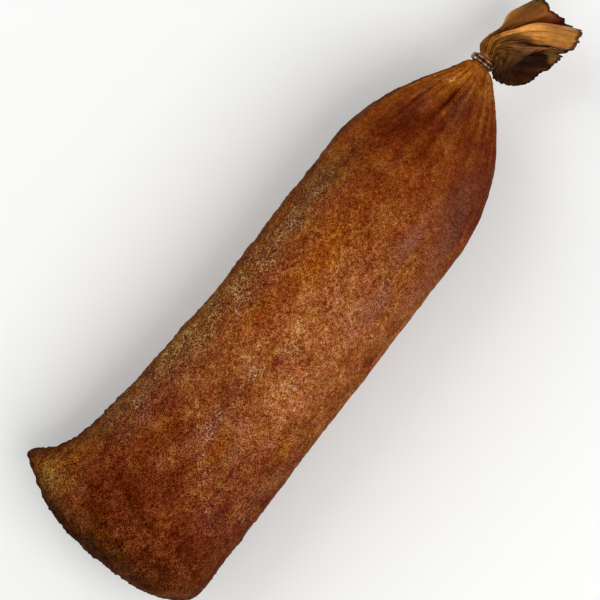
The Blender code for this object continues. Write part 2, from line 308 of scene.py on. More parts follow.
# Each spot: millimetres from the clip, degrees round, how far it spreads along in millimetres and
# round in degrees, and how much it changes the mask.
# Most spots are the skin's own mottling; the narrow light and dark ones on the shoulder are painted
# highlights on ridges and painted shade in grooves, and the thin band round the blind end is painted
# shade.
TONE_AND_SHADING_SPOTS = (
    (12, 68, 12, 30, 0.10), (8, 6, 12, 26, -0.42), (20, 10, 7, 12, -0.28), (33, 14, 8, 12, -0.10),
    (20, 41, 7, 6, 0.12), (50, 88, 12, 5, -0.05), (72, 124, 14, 12, -0.07), (80, 148, 8, 8, -0.05),
    (125, 52, 5, 4, 0.08), (187, 88, 8, 3, 0.06), (168, 128, 6, 5, -0.07),
    (232, 36, 10, 12, 0.06), (22, 55, 9, 10, 0.12), (33, 63, 7, 8, 0.16),
    (145, 24, 30, 10, -0.06), (225, 120, 12, 9, -0.05), (275, 100, 9, 10, -0.04),
    (292, 31, 7, 6, 0.10), (292, 118, 8, 24, -0.06), (74, 136, 12, 8, -0.05),
    (15, 16, 10, 10, -0.12), (60, 6, 22, 10, 0.06), (307, 80, 4, 100, -0.10), (106, 34, 24, 14, -0.03),
    (18, 58, 3, 2.5, 0.26), (22, 51, 5, 2, 0.20), (50, 30, 44, 9, 0.22), (36, 46, 12, 2, 0.16),
    (36, 51, 16, 2.0, -0.16), (27, 76, 12, 2.0, -0.22), (26, 82, 9, 6, -0.12),
    (27, 94, 9, 9, -0.12), (10, 110, 5, 2.5, -0.20), (50, 66, 11, 12, -0.16), (50, 84, 9, 7, -0.08),
    (44, 101, 11, 8, 0.08), (62, 90, 8, 8, -0.05), (15, 144, 7, 5, -0.10), (32, 154, 6, 7, -0.06),
    (35, 135, 12, 12, -0.05), (68, 141, 24, 13, -0.15), (60, 168, 20, 10, -0.10),
    (20, 124, 12, 5, 0.10), (57, 95, 3, 8, -0.06), (96, 96, 10, 6, 0.06), (90, 88, 5, 4, 0.08),
    (96, 40, 14, 12, 0.05), (118, 80, 10, 7, -0.10), (145, 78, 8, 6, -0.12),
    (122, 153, 14, 12, 0.09), (145, 121, 6, 6, 0.07), (158, 92, 14, 4, 0.08),
    (150, 88, 30, 7, 0.02), (165, 150, 18, 10, -0.07), (205, 118, 24, 8, 0.03),
    (192, 112, 12, 8, 0.03), (190, 102, 5, 4, -0.08), (205, 103, 5, 4, 0.10),
    (185, 95, 7, 4, 0.06), (178, 94, 3, 2.5, -0.26), (200, 130, 6, 5, -0.18),
    (214, 129, 6, 5, -0.14), (198, 58, 5, 5, -0.09), (192, 26, 22, 12, 0.08),
    (225, 30, 20, 14, 0.08), (134, 153, 3, 3, -0.20), (141, 95, 1.2, 1.3, -0.60),
    (212, 102, 4, 4, 0.08), (225, 112, 5, 5, 0.04), (234, 98, 4, 4, 0.10), (228, 90, 5, 5, -0.08),
    (268, 104, 5, 6, 0.08), (238, 68, 4, 3, -0.12), (240, 118, 14, 1.4, -0.12),
    (272, 95, 5, 6, -0.06), (245, 130, 18, 7, -0.09), (254, 20, 18, 22, 0.16), (270, 76, 14, 14, -0.08),
    (276, 118, 12, 10, -0.08), (262, 150, 18, 22, -0.03), (205, 84, 10, 8, -0.05),
    (276, 28, 13, 20, 0.20), (285, 8, 13, 18, 0.28), (292, 26, 7, 20, 0.22), (292, 63, 6, 8, 0.12),
    (294, 155, 8, 14, 0.14), (292, 4, 4, 5, -0.05), (300, 60, 3, 60, -0.06),
    (292, 110, 8, 22, -0.05), (154, 156, 30, 8, -0.05), (236, 162, 4, 5, -0.10),
)
YELLOW_AROUND = (
    (-180, 0.6), (-8, 1.3), (6, 1.2), (14, 0.85), (26, 0.38), (40, 0.08), (150, 0.0), (164, 0.2),
    (175, 0.6), (180, 0.6),
)
YELLOW_SPOTS = (
    (24, 60, 10, 16, 0.25), (26, 132, 12, 10, 0.4), (7, 142, 4, 8, 0.9), (10, 160, 10, 12, 1.0),
    (62, 6, 30, 13, 1.3), (16, 14, 14, 12, 0.9), (84, 44, 18, 8, 0.9), (96, 24, 12, 10, 0.6),
    (96, 40, 14, 12, 0.4), (114, 34, 24, 14, 0.4),
    (150, 14, 60, 10, 0.3), (225, 18, 40, 16, 0.5), (190, 30, 30, 14, 0.15),
    (289, 26, 10, 20, 0.5), (50, 6, 10, 10, 0.5),
    (248, 20, 14, 22, 0.4), (96, 94, 14, 8, 0.2), (158, 92, 16, 4, 0.4), (170, 40, 80, 14, 0.25),
    (48, 176, 40, 9, 1.1), (252, 176, 40, 9, 1.0), (252, 66, 8, 6, 0.4),
    (298, 80, 11, 90, 1.1), (306, 80, 6, 100, 0.6), (195, 155, 4, 4, 0.6),
    (158, 162, 5, 5, 0.6), (140, 156, 5, 5, 0.4), (140, 42, 6, 4, 0.3), (285, 160, 12, 14, 0.6),
    (33, 153, 8, 9, -0.5), (236, 162, 5, 5, -0.7), (178, 94, 4, 3, -0.6), (205, 160, 20, 6, -0.4),
    (270, 78, 14, 14, -0.4), (36, 62, 8, 7, -0.2), (160, 70, 30, 9, -0.2), (256, 154, 6, 8, -0.4),
    (105, 96, 6, 6, -0.4), (162, 106, 12, 9, -0.5), (62, 110, 16, 12, -0.3), (135, 92, 7, 8, -0.4),
    (96, 42, 13, 12, 0.3), (272, 24, 6, 18, -0.4),
)
AMBER_SPOTS = (
    (8, 70, 9, 50, 0.9), (20, 58, 12, 14, 0.6), (52, 30, 40, 11, 0.8), (126, 74, 20, 10, 0.7),
    (160, 66, 12, 7, 0.6), (226, 101, 7, 5, 0.8), (232, 68, 8, 6, 0.6), (248, 62, 12, 12, 0.4),
    (64, 84, 14, 12, 0.3), (268, 104, 9, 8, 0.4), (276, 26, 14, 20, 0.5), (212, 138, 10, 8, 0.5),
    (100, 76, 14, 12, 0.3), (275, 160, 8, 8, 0.3), (120, 20, 16, 7, 0.4),
)
# Bloom and sheen: partly a thin film of salt, partly painted sheen on the top and right side.
BLOOM_AND_SHEEN_SPOTS = (
    (94, 116, 11, 5, 0.80), (126, 125, 9, 5, 0.90), (188, 84, 7, 5, 0.30), (222, 88, 12, 5, 0.40),
    (212, 102, 5, 5, 0.30), (225, 111, 5, 5, 0.34), (211, 123, 5, 4, 0.34), (240, 48, 5, 4, 0.25),
    (200, 48, 12, 6, 0.20), (110, 150, 18, 10, 0.45), (118, 43, 12, 6, 0.20), (135, 118, 14, 9, 0.3),
    (27, 92, 9, 8, 0.25), (40, 60, 8, 6, 0.12), (70, 137, 22, 9, 0.34), (60, 128, 14, 9, 0.15),
    (228, 150, 12, 8, 0.20), (256, 130, 8, 8, 0.15), (140, 104, 20, 12, 0.15),
    (258, 118, 10, 9, 0.05), (175, 130, 16, 8, 0.20), (86, 142, 10, 8, 0.35), (250, 18, 12, 7, 0.20),
    (298, 90, 9, 90, 0.04), (96, 40, 13, 12, 0.15), (228, 36, 14, 12, 0.18), (72, 120, 14, 10, 0.15),
    (106, 34, 24, 12, 0.14),
)
# Crust and sheen: partly dried fat, partly painted sheen, most of it along the upper left flank.
CRUST_AND_SHEEN_SPOTS = (
    (76, 44, 9, 9, 0.40), (100, 40, 16, 11, 0.65), (124, 39, 11, 12, 0.80), (142, 38, 9, 12, 1.0),
    (157, 38, 9, 13, 0.95), (174, 36, 8, 13, 0.95), (189, 36, 8, 14, 0.95), (204, 37, 9, 14, 0.90),
    (217, 36, 12, 14, 0.65), (166, 51, 9, 5, 0.60), (236, 40, 9, 13, 0.70), (249, 41, 8, 13, 0.75),
    (150, 18, 60, 10, 0.50), (222, 18, 40, 11, 0.55), (116, 120, 4, 7, 0.45),
    (187, 88, 8, 6, 0.60), (206, 86, 9, 8, 0.65),
    (222, 88, 12, 9, 0.60), (226, 111, 9, 8, 0.48), (238, 119, 15, 3.0, 0.60),
    (250, 114, 12, 11, 0.28), (240, 97, 8, 7, 0.50), (284, 100, 14, 60, 0.35),
    (168, 96, 14, 8, 0.35), (284, 30, 14, 20, 0.40), (240, 150, 30, 12, 0.50),
    (299, 80, 6, 90, 0.45), (180, 108, 14, 10, 0.35),
)
FIBRE_ALONG = (
    (0, 0.9), (30, 0.5), (60, 0.3), (110, 0.35), (180, 0.45), (230, 1.1), (280, 1.6), (307, 2.3),
)
MOTTLE_ALONG = (
    (0, 0.70), (60, 0.72), (100, 0.80), (125, 1.0), (205, 1.0), (230, 1.12), (307, 1.0),
)
GRAIN_ALONG = (
    (0, 0.50), (45, 0.50), (110, 0.98), (190, 1.0), (240, 1.35), (265, 1.15), (285, 1.5), (300, 2.9),
)
FINE_ALONG = (
    (0, 0.45), (45, 0.55), (110, 1.3), (190, 1.4), (235, 3.4), (265, 2.5), (285, 4.2), (300, 9.0),
)


def spots(places):
    """Soft oval spots on the skin, each laid on the ones before it."""
    total = np.zeros(station_of.size)
    for along, degrees, length, width, amount in places:
        down = (millimetres_of - along) / length
        across = np.degrees(turned_by(angle_of - math.radians(degrees))) / width
        total += amount * np.exp(-down * down - across * across)
    return total


def graded(at, table):
    """Values at places, between the rows of a table of places and values."""
    return np.interp(at, *zip(*table))


tone_and_shading = graded(millimetres_of, TONE_AND_SHADING_ALONG) + spots(TONE_AND_SHADING_SPOTS)
tone_and_shading += graded(degrees_of, TONE_AND_SHADING_AROUND) * smooth_step(0, 60, millimetres_of)
yellow = graded(degrees_of, YELLOW_AROUND) * smooth_step(0, 30, millimetres_of)
# Painted highlight where the gathers stand out and painted shade in their grooves, weaker on the right
# side.
raised = gathers(station_of, angle_of, np.interp(station_of, (0, 80 * MM), (4 * MM, 42 * MM)))
tone_and_shading += np.clip(raised / (0.45 * MM), -1, 1) * (0.12 - 0.06 * smooth_step(100, 125, degrees_of))
paint(casing, "tone_and_shading", tone_and_shading)
paint(casing, "yellow", np.clip(yellow + spots(YELLOW_SPOTS), -1, 1.8))
paint(casing, "amber", np.clip(spots(AMBER_SPOTS), 0, 1))
paint(casing, "bloom_and_sheen", np.clip(spots(BLOOM_AND_SHEEN_SPOTS), 0, 1))
paint(casing, "crust_and_sheen", np.clip(spots(CRUST_AND_SHEEN_SPOTS), 0, 1))
gathered = 1 - smooth_step(10, 75, millimetres_of) ** 0.5
paint(casing, "gathered", gathered * (1 - 0.45 * smooth_step(100, 125, degrees_of)))
paint(casing, "mottle", graded(millimetres_of, MOTTLE_ALONG))
drawn = casing.data.attributes.new("drawn", "FLOAT_VECTOR", "POINT")
stretched = (38 * np.cos(angle_of), 38 * np.sin(angle_of), millimetres_of / 22)
drawn.data.foreach_set("vector", np.stack(stretched, axis=-1).astype(np.float32).ravel())
paint(casing, "fibre", graded(millimetres_of, FIBRE_ALONG))
flank = smooth_step(60, 110, millimetres_of) * np.exp(-(((degrees_of - 25) / 30) ** 2))
flank += smooth_step(190, 240, millimetres_of) * smooth_step(115, 150, degrees_of)
paint(casing, "grain", graded(millimetres_of, GRAIN_ALONG) + 0.20 * flank)
paint(casing, "fine", graded(millimetres_of, FINE_ALONG) + 1.1 * flank)
rough = smooth_step(70, 115, millimetres_of) * np.exp(-(((degrees_of - 16) / 34) ** 2))
rough += 0.9 * smooth_step(215, 250, millimetres_of) * smooth_step(60, 0, degrees_of)
rough += smooth_step(284, 300, millimetres_of) * smooth_step(-30, 10, degrees_of)
paint(casing, "rough", np.clip(rough, 0, 1.6))


class Nodes:
    """Short calls for building one node tree."""

    def __init__(self, tree):
        self.tree = tree
        tree.nodes.clear()

    def add(self, kind, settings=(), **inputs):
        node = self.tree.nodes.new(kind)
        for key, value in dict(settings).items():
            setattr(node, key, value)
        for key, value in inputs.items():
            self.put(node, key, value)
        return node

    def put(self, node, key, value):
        """Fills an input, known by its number after an i, or by its name with _ for a space."""
        key = int(key[1:]) if key[0] == "i" and key[1:].isdigit() else key.replace("_", " ")
        socket = node.inputs[key]
        if isinstance(value, bpy.types.NodeSocket):
            self.tree.links.new(value, socket)
        else:
            socket.default_value = value

    def maths(self, operation, first, second=0.0, third=0.0):
        settings = {"operation": operation}
        return self.add("ShaderNodeMath", settings, i0=first, i1=second, i2=third).outputs[0]

    def centred(self, value, times=1.0):
        return self.maths("MULTIPLY_ADD", value, times, -0.5 * times)

    def between(self, value, low, high, start=0.0, end=1.0):
        """From start to end as the value goes from low to high, and held beyond them."""
        inputs = {"i1": low, "i2": high, "i3": start, "i4": end}
        return self.add("ShaderNodeMapRange", Value=value, **inputs).outputs[0]

    def noise(self, at, scale, detail, roughness, output="Fac"):
        return self.add(
            "ShaderNodeTexNoise", Vector=at, Scale=scale, Detail=detail, Roughness=roughness
        ).outputs[output]

    def place(self):
        return self.add("ShaderNodeTexCoord").outputs["Object"]

    def finish(self, **inputs):
        surface = self.add("ShaderNodeBsdfPrincipled", **inputs)
        self.add("ShaderNodeOutputMaterial", Surface=surface.outputs[0])

    def mask(self, name):
        return self.add("ShaderNodeAttribute", {"attribute_name": name}).outputs["Fac"]

    def mix(self, share, first, second, blend="MIX"):
        node = self.add("ShaderNodeMix", {"data_type": "RGBA", "blend_type": blend})
        for key, value in ((0, share), (6, first), (7, second)):
            self.put(node, f"i{key}", value)
        return node.outputs[2]

    def ramp(self, value, *stops):
        """The first two stops are the ones a new ramp has, and the others are added."""
        node = self.add("ShaderNodeValToRGB", Fac=value)
        elements = node.color_ramp.elements
        for number, (at, colour) in enumerate(stops):
            stop = elements[number] if number < 2 else elements.new(at)
            stop.position = at
            stop.color = colour
        return node.outputs[0]


def srgb(red, green, blue):
    """A colour given as it looks on a screen, from 0 to 255."""
    linear = [
        c / 12.92 if c <= 0.04045 else ((c + 0.055) / 1.055) ** 2.4
        for c in (red / 255, green / 255, blue / 255)
    ]
    return (*linear, 1.0)


def new_material(name):
    """A material with nothing in it, and the nodes to fill it with."""
    material = bpy.data.materials.new(name)
    material.use_nodes = True
    return material, Nodes(material.node_tree)


def casing_material():
    material, n = new_material("smoked_casing")
    place = n.place()

    def powers(red, green, blue, exponent):
        parts = [n.maths("POWER", base, exponent) for base in (red, green, blue)]
        return n.add("ShaderNodeCombineXYZ", X=parts[0], Y=parts[1], Z=parts[2]).outputs[0]

    def tinted(colour, red, green, blue, exponent):
        return n.mix(1.0, colour, powers(red, green, blue, exponent), "MULTIPLY")

    # Creases and stretched fibres run out from the neck and die out down the shoulder.
    drawn = n.add("ShaderNodeAttribute", {"attribute_name": "drawn"}).outputs["Vector"]
    streaks = n.noise(drawn, 1.0, 3.0, 0.75)
    blotch = n.noise(place, 70.0, 3.5, 0.95)
    tints = n.add("ShaderNodeSeparateColor", Color=n.noise(place, 95.0, 4.0, 0.85, "Color")).outputs
    tone_and_shading = n.maths("MULTIPLY_ADD", n.centred(blotch, 1.0), n.mask("mottle"), n.mask("tone_and_shading"))
    tone_and_shading = n.maths("MULTIPLY_ADD", n.centred(streaks, 1.1), n.mask("gathered"), tone_and_shading)
    colour = n.ramp(
        tone_and_shading,
        (0.0, srgb(48, 10, 0)),
        (1.0, srgb(192, 128, 78)),
        (0.17, srgb(76, 22, 2)),
        (0.33, srgb(99, 38, 10)),
        (0.47, srgb(120, 55, 17)),
        (0.60, srgb(141, 74, 27)),
        (0.80, srgb(168, 100, 48)),
    )
    # Patches of the skin lean to red or to olive, and to lilac or to amber.
    yellow = n.maths("ADD", n.centred(tints[0], 3.6), n.mask("yellow"))
    colour = tinted(colour, 0.96, 1.26, 0.85, yellow)
    colour = tinted(colour, 1.0, 1.0, 1.5, n.centred(tints[1], 5.0))
    colour = tinted(colour, 1.10, 1.02, 0.42, n.mask("amber"))

    # The speckle lightens and darkens green and blue more than red. Fine hairs cross in it.
    grain = n.centred(n.noise(place, 600.0, 2.0, 0.8), 9.0)
    fine_grain = n.centred(n.noise(place, 1700.0, 1.0, 1.0), 11.0)
    hairs = []
    for turn in (-0.72, 0.78):
        turned = n.add(
            "ShaderNodeMapping",
            {"vector_type": "TEXTURE"},
            Vector=place,
            Rotation=(0, 0, turn),
            Scale=(7.0, 1.0, 3.0),
        ).outputs[0]
        hairs.append(n.noise(turned, 1300.0, 1.0, 0.5))
    hair = n.maths("MAXIMUM", *hairs)
    hair = n.between(hair, 0.56, 0.74)
    speckle = n.maths("MULTIPLY", grain, n.mask("grain"))
    speckle = n.maths("MULTIPLY_ADD", fine_grain, n.mask("fine"), speckle)
    speckle = n.maths("MULTIPLY_ADD", n.maths("MULTIPLY", hair, n.mask("fibre")), 0.9, speckle)
    speckle = n.maths("MAXIMUM", n.maths("MINIMUM", speckle, 2.2), -2.6)
    colour = tinted(colour, 1.32, 1.66, 2.35, speckle)

    # Dark red pores, each alone.
    pits = n.add("ShaderNodeTexVoronoi", {"feature": "F1"}, Vector=place, Scale=210.0).outputs
    chosen = n.add("ShaderNodeSeparateColor", Color=pits["Color"]).outputs[0]
    inside = n.between(pits["Distance"], 0.10, 0.26, 1.0, 0.0)
    pit = n.maths("MULTIPLY", inside, n.between(chosen, 0.45, 0.9))
    colour = tinted(colour, 0.62, 0.38, 0.30, pit)

    # Salt and painted sheen: a thin greyish film, thinner in the hollows of the speckle.
    salt_and_sheen_film = n.maths("MULTIPLY", n.mask("bloom_and_sheen"), n.maths("MULTIPLY_ADD", speckle, 0.14, 0.36))
    colour = n.mix(n.maths("MAXIMUM", salt_and_sheen_film, 0.0), colour, srgb(154, 112, 96))

    # Dried fat and painted sheen: an olive ground, pale threads in a net, partly painted glints on the
    # wrinkles, and dark pores in its meshes.
    bent = n.add(
        "ShaderNodeVectorMath",
        {"operation": "MULTIPLY_ADD"},
        i0=n.noise(place, 700.0, 1.0, 0.5, "Color"),
        i1=(1.6 * MM, 1.6 * MM, 1.6 * MM),
        i2=place,
    ).outputs[0]
    cells = n.add(
        "ShaderNodeTexVoronoi", {"feature": "DISTANCE_TO_EDGE"}, Vector=bent, Scale=520.0
    ).outputs["Distance"]
    patchy = n.maths("MULTIPLY_ADD", n.mask("crust_and_sheen"), 0.32, n.noise(place, 150.0, 2.0, 0.6))
    patches = n.maths("MULTIPLY", n.between(patchy, 0.58, 0.86), n.between(n.mask("crust_and_sheen"), 0.0, 0.3))
    colour = tinted(colour, 0.88, 1.08, 1.50, patches)
    threads = n.maths("MULTIPLY", n.between(cells, 0.02, 0.11, 1.0, 0.0), patches)
    threads = n.maths("MULTIPLY", threads, n.between(n.noise(place, 420.0, 1.0, 0.5), 0.36, 0.60))
    colour = tinted(colour, 2.9, 4.1, 6.0, threads)
    pores = n.maths("MULTIPLY", n.between(cells, 0.16, 0.30), patches)
    colour = tinted(colour, 0.42, 0.32, 0.28, pores)

    height = n.maths("MULTIPLY_ADD", threads, 0.8, n.maths("MULTIPLY", grain, 0.08))
    height = n.maths("MULTIPLY_ADD", blotch, 1.2, height)
    bump = n.add("ShaderNodeBump", Strength=0.5, Distance=0.30 * MM, Height=height)
    n.finish(
        Base_Color=colour,
        Roughness=0.60,
        Specular_IOR_Level=0.01,
        Specular_Tint=(1.0, 0.5, 0.2, 1),
        Normal=bump.outputs[0],
    )
    return material


skin = casing_material()


def relief_tree():
    """Raises a piece's skin in uneven lumps and fine wrinkles, and sets its material."""
    tree = bpy.data.node_groups.new("skin_relief", "GeometryNodeTree")
    sockets = tree.interface
    sockets.new_socket("Geometry", in_out="INPUT", socket_type="NodeSocketGeometry")
    for name in ("Dent Depth", "Dent Size", "Wrinkle Depth", "Wrinkle Size"):
        sockets.new_socket(name, in_out="INPUT", socket_type="NodeSocketFloat")
    sockets.new_socket("Skin", in_out="INPUT", socket_type="NodeSocketMaterial")
    sockets.new_socket("Geometry", in_out="OUTPUT", socket_type="NodeSocketGeometry")
    n = Nodes(tree)
    given = n.add("NodeGroupInput").outputs
    place = n.add("GeometryNodeInputPosition").outputs[0]
    rough = n.add("GeometryNodeInputNamedAttribute", {"data_type": "FLOAT"}, Name="rough")
    # Where the skin is rough, the dents grow a little and the wrinkles a lot.
    offset = None
    for kind, detail, growth in (("Dent", 2.0, 0.9), ("Wrinkle", 3.0, 2.3)):
        per_metre = n.maths("DIVIDE", 1.0, given[f"{kind} Size"])
        height = n.maths("SUBTRACT", n.noise(place, per_metre, detail, 0.55), 0.5)
        height = n.maths("MULTIPLY", height, given[f"{kind} Depth"])
        grown = n.maths("MULTIPLY_ADD", rough.outputs["Attribute"], growth, 1.0)
        height = n.maths("MULTIPLY", height, grown)
        offset = height if offset is None else n.maths("ADD", offset, height)
    normal = n.add("GeometryNodeInputNormal").outputs[0]
    push = n.add("ShaderNodeVectorMath", {"operation": "SCALE"}, i0=normal, Scale=offset)
    moved = n.add(
        "GeometryNodeSetPosition", Geometry=given["Geometry"], Offset=push.outputs[0]
    )
    real = n.add("GeometryNodeRealizeInstances", Geometry=moved.outputs[0])
    finished = n.add(
        "GeometryNodeSetMaterial", Geometry=real.outputs[0], Material=given["Skin"]
    )
    n.add("NodeGroupOutput", Geometry=finished.outputs[0])
    return tree


def run_tree(piece, tree, **inputs):
    """Gives the piece the plain mesh that the tree makes of it."""
    step = piece.modifiers.new(tree.name, "NODES")
    step.node_group = tree
    names = {s.name: s.identifier for s in tree.interface.items_tree if s.in_out == "INPUT"}
    for name, value in inputs.items():
        step[names[name.replace("_", " ")]] = value
    ready = piece.evaluated_get(bpy.context.evaluated_depsgraph_get())
    made = bpy.data.meshes.new_from_object(ready)
    piece.modifiers.clear()
    piece.data = made
    made.name = piece.name


skin_relief = relief_tree()
run_tree(
    casing,
    skin_relief,
    Dent_Depth=1.6 * MM,
    Dent_Size=11 * MM,
    Wrinkle_Depth=0.9 * MM,
    Wrinkle_Size=2.6 * MM,
    Skin=skin,
)


def press_flat(piece):
    """Where it lies, the skin is pressed flat."""
    places = np.empty(len(piece.data.vertices) * 3)
    piece.data.vertices.foreach_get("co", places)
    places[2::3] = np.maximum(places[2::3], 0)
    piece.data.vertices.foreach_set("co", places)
    piece.data.update()


press_flat(casing)
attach(casing, "root")
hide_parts("sausage")

# ---------------------------------------------------------------------------------------------
# The empty tail of the casing, past the clip. It is the same skin with nothing in it: dry, thin,
# folded as it came out of the clip, and open at its cut edge. Each fold is a line from the neck
# to the cut edge, and the skin runs smoothly from one line to the next.

TAIL_FOLDS = [
    # Degrees round the neck, four points in millimetres from the neck's middle, then the colours
    # half way along and at the cut edge. The colours hold painted light and shade: pale where the
    # broad fold lies on top, dark in its underside, in the open mouth and on the lower lobe.
    (0, (8.6, 6.2, 0.0), (18.8, 3.4, 0.0), (27.6, 4.4, -2.0), (38.5, -0.8, -3.0),
     (178, 120, 52), (92, 60, 28)),
    (15, (10.8, 5.2, 3.0), (20.0, 2.8, 3.0), (29.4, 1.2, 1.0), (40.9, -2.6, 0.0),
     (132, 82, 32), (102, 66, 24)),
    (30, (11.4, 4.4, 4.0), (20.1, 1.2, 3.5), (29.3, -2.4, 2.5), (43.4, -5.6, 1.5),
     (124, 74, 30), (106, 64, 24)),
    (42, (11.5, 3.9, 4.0), (20.3, 0.1, 3.0), (29.9, -5.5, 2.5), (40.8, -11.2, 1.5),
     (128, 76, 30), (140, 82, 34)),
    (52, (11.3, 3.6, 3.0), (19.2, -2.0, 1.5), (29.4, -8.1, 0.5), (41.3, -19.2, 0.5),
     (128, 72, 28), (88, 36, 14)),
    (60, (11.2, 2.9, 2.0), (18.9, -3.3, 1.2), (28.9, -10.1, 1.0), (40.8, -23.3, -0.5),
     (122, 68, 27), (82, 28, 12)),
    (68, (11.8, 3.3, 4.5), (19.6, -1.8, 4.5), (30.5, -9.4, 4.0), (40.2, -25.4, 3.0),
     (188, 120, 54), (180, 112, 52)),
    (80, (11.8, 2.8, 6.0), (20.6, -2.9, 8.5), (30.7, -12.4, 9.5), (39.0, -28.8, 8.0),
     (238, 164, 84), (172, 112, 50)),
    (92, (11.4, 2.0, 6.5), (21.0, -4.9, 8.5), (29.3, -16.4, 10.0), (36.4, -31.3, 8.5),
     (236, 160, 78), (168, 110, 48)),
    (104, (11.0, 1.0, 6.0), (20.4, -6.0, 6.5), (24.3, -17.2, 7.0), (32.7, -32.9, 6.0),
     (176, 116, 52), (168, 106, 46)),
    (113, (10.5, 0.0, 3.5), (19.4, -8.0, 1.0), (23.1, -18.1, 0.0), (31.4, -29.6, 0.5),
     (76, 44, 16), (96, 46, 20)),
    (122, (9.7, -0.6, 4.5), (15.0, -5.8, 4.0), (18.8, -14.1, 4.5), (25.6, -22.6, 3.5),
     (130, 84, 50), (148, 88, 50)),
    (134, (8.5, -1.5, 3.5), (11.8, -5.7, 3.0), (13.3, -10.1, 3.5), (16.1, -15.4, 3.0),
     (88, 54, 24), (84, 52, 24)),
    (146, (7.1, -2.4, 2.5), (8.7, -5.9, 1.5), (9.4, -9.6, 1.5), (10.4, -13.8, 1.0),
     (88, 56, 24), (76, 46, 20)),
    (158, (5.0, -4.0, 3.4), (3.4, -7.2, 2.8), (3.0, -9.8, 1.6), (3.6, -12.8, 0.0),
     (60, 31, 13), (44, 20, 9)),
    (170, (2.5, -5.2, 3.9), (-1.0, -6.8, 2.6), (-2.0, -9.4, 0.4), (-1.4, -12.8, -2.6),
     (44, 20, 8), (42, 18, 8)),
    (180, (2.5, -6.5, -0.6), (-1.6, -7.4, -0.8), (-2.3, -10.4, -3.5), (-1.4, -14.6, -6.0),
     (52, 26, 13), (46, 22, 12)),
    (192, (3.4, -5.2, -3.0), (1.6, -8.8, -5.0), (0.2, -13.2, -7.0), (0.6, -19.0, -8.0),
     (68, 38, 16), (66, 33, 15)),
    (208, (4.6, -4.4, -4.0), (4.6, -9.0, -7.0), (4.6, -15.5, -9.0), (6.3, -24.2, -9.0),
     (78, 48, 20), (64, 32, 15)),
    (225, (5.4, -3.1, -5.0), (7.0, -8.3, -8.0), (9.8, -16.0, -10.0), (14.7, -26.4, -9.0),
     (48, 25, 13), (56, 28, 14)),
    (245, (6.4, -2.2, -5.5), (9.8, -7.9, -7.0), (15.6, -17.1, -7.0), (22.4, -29.1, -5.0),
     (42, 20, 12), (110, 80, 36)),
    (265, (7.3, -0.6, -5.5), (12.4, -6.5, -7.0), (19.2, -16.1, -7.0), (26.9, -28.6, -4.0),
     (42, 20, 12), (114, 82, 38)),
    (290, (8.2, 1.4, -5.0), (14.6, -3.0, -6.5), (22.6, -11.7, -7.0), (33.1, -30.2, -6.0),
     (64, 34, 18), (116, 82, 42)),
    (315, (8.5, 3.4, -4.5), (16.5, 0.3, -5.5), (25.7, -6.2, -6.0), (37.2, -22.7, -6.0),
     (110, 65, 30), (126, 76, 35)),
    (340, (8.4, 5.2, -2.5), (18.2, 3.0, -3.0), (27.9, 0.9, -4.0), (39.9, -7.7, -5.0),
     (150, 98, 44), (104, 66, 30)),
]
TAIL_AROUND = 500
TAIL_RINGS = 88
SKIN_THICKNESS = 0.40 * MM
TAIL_PLEATS = ((31, 0.42 * MM, 0.9), (53, 0.26 * MM, 3.0), (17, 0.50 * MM, 5.1))
TAIL_CREASES = 110
TAIL_CREASE_DEPTH = 0.7 * MM
CRUMPLED = (100, 215)  # the degrees round the neck where the skin is drawn into many creases
CRUMPLE_DEPTH = 0.8 * MM
tail_dice = np.random.default_rng(5)


def tail_creases(turn, share):
    """How deep the skin is creased at each point, from 0 to about 1."""
    depth = np.zeros(np.broadcast(turn, share).shape)
    for number in range(TAIL_CREASES):
        crumpled = number % 2 == 0
        at = tail_dice.uniform(*CRUMPLED) if crumpled else tail_dice.uniform(0, 360)
        bend = tail_dice.uniform(-14, 14)
        width = tail_dice.uniform(0.9, 2.6)
        length = tail_dice.uniform(0.35, 1.0)
        strength = tail_dice.uniform(0.35, 1.0) * (1.0 if crumpled else 0.55)
        across = np.remainder(turn - at - bend * share + 180, 360) - 180
        fade = smooth_step(0.0, 0.06, share) * (1 - smooth_step(0.6 * length, length, share))
        depth = np.maximum(depth, strength * fade * np.exp(-((across / width) ** 2)))
    return depth


def crumples(turn, share):
    """Sharp folds side by side in the front of the tail, from -1 in a valley to 1 on a ridge."""
    low, high = CRUMPLED
    where = smooth_step(low - 12, low + 6, turn) * (1 - smooth_step(high - 8, high + 20, turn))
    where = where * smooth_step(0.02, 0.14, share)
    total = 0
    for width, bend, phase, part in ((15.0, 16.0, 0.4, 0.55), (8.5, -12.0, 2.3, 0.45)):
        bent = turn + bend * np.sin(4.5 * share + turn / 24 + phase)
        total = total + part * (2 * np.abs(np.sin(bent * math.pi / width)) ** 0.8 - 1)
    return where * total


def smooth_line(start, leave, end, arrive, u):
    """From start to end as u goes from 0 to 1, leaving and arriving at the slopes given."""
    return (
        start * (2 * u**3 - 3 * u**2 + 1)
        + leave * (u**3 - 2 * u**2 + u)
        + end * (3 * u**2 - 2 * u**3)
        + arrive * (u**3 - u**2)
    )


def closed_spline(knots, values, at):
    """Values at angles in degrees, on a smooth loop through the values at the knots."""
    count = len(knots)
    around = np.array([knots[-1] - 360, *knots, 360, knots[1] + 360], dtype=float)
    looped = np.array([values[-1], *values, values[0], values[1]])
    slopes = (looped[2:] - looped[:-2]) / (around[2:] - around[:-2])[:, None]
    here = np.clip(np.searchsorted(knots, at % 360, side="right") - 1, 0, count - 1)
    width = (around[here + 2] - around[here + 1])[:, None]
    u = ((at % 360) - around[here + 1])[:, None] / width
    leave = slopes[here] * width
    arrive = slopes[(here + 1) % count] * width
    return smooth_line(looped[here + 1], leave, looped[here + 2], arrive, u)


